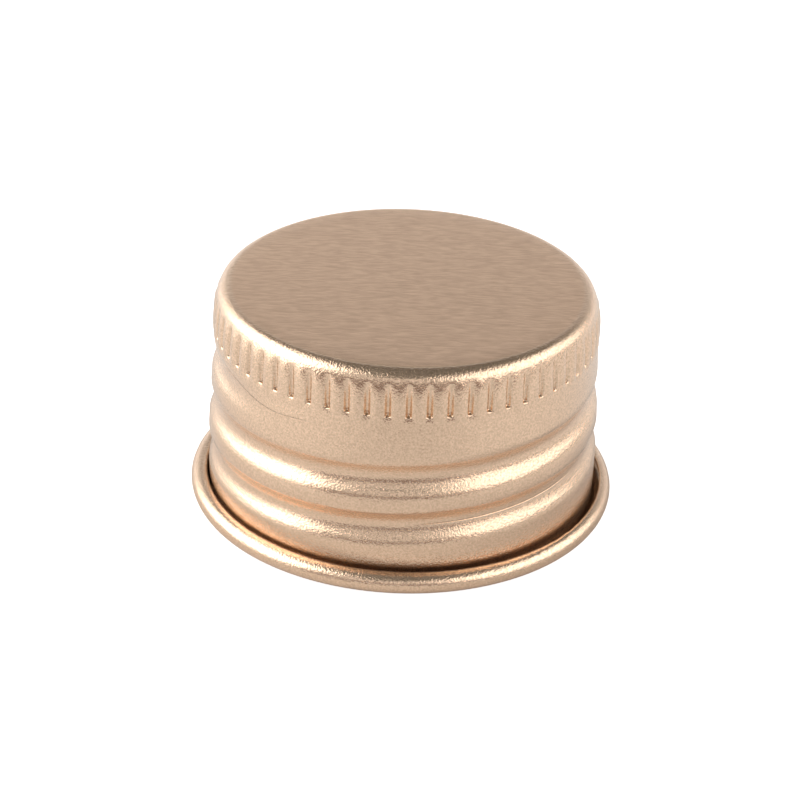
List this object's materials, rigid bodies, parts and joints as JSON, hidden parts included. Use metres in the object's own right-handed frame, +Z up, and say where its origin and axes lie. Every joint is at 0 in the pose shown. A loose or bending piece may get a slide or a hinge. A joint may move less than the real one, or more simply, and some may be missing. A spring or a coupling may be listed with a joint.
{
  "type": "metal screw bottle cap",
  "caption": "Low aluminium screw cap with a fluted band under its flat top, a rolled thread, a curled rim and a foam sealing disc inside.",
  "frame": {"origin": "centre of the cap at the lowest plane of its curled rim, on which it stands", "axes": "+Z up along the cap's axis, from the open mouth to the top panel; -Y towards the side that the picture shows"},
  "size_m": [0.027, 0.027, 0.0143],
  "materials": {
    "champagne_aluminium": "satin, pale champagne anodised; top panel fine brushed",
    "liner_foam": "closed-cell polyethylene foam, off-white, fine pores"
  },
  "bodies": {
    "root": {"cap_shell": "champagne_aluminium", "sealing_liner": "liner_foam"}
  },
  "joints": []
}
